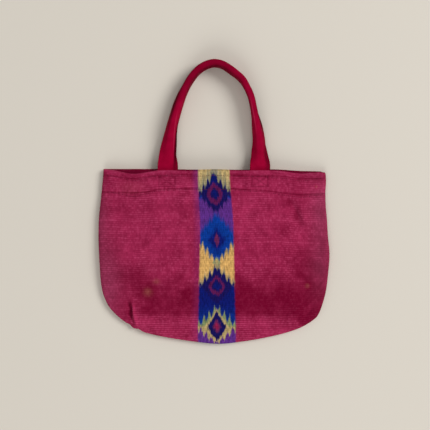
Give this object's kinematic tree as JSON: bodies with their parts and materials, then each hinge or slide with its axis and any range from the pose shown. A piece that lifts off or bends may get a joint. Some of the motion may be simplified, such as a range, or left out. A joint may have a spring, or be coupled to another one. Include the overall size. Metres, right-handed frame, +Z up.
{
  "type": "tote bag",
  "caption": "Soft woven tote bag lying flat, with a puffed front, boxed bottom corners, a folded hem round its open mouth and a pair of arched webbing carrying handles.",
  "frame": {"origin": "middle of the bounding box's underside, on the surface that the bag lies on", "axes": "+X to the right across the bag, +Y from the bag's bottom to its handles, +Z up, out of the front"},
  "size_m": [0.369, 0.4518, 0.03],
  "materials": {
    "front_panel": "matt ribbed cloth",
    "back_panel": "matt ribbed cloth",
    "front_handle": "matt webbing",
    "back_handle": "matt webbing"
  },
  "bodies": {
    "root": {"front_panel": "front_panel", "back_panel": "back_panel", "front_handle": "front_handle", "back_handle": "back_handle"}
  },
  "joints": []
}
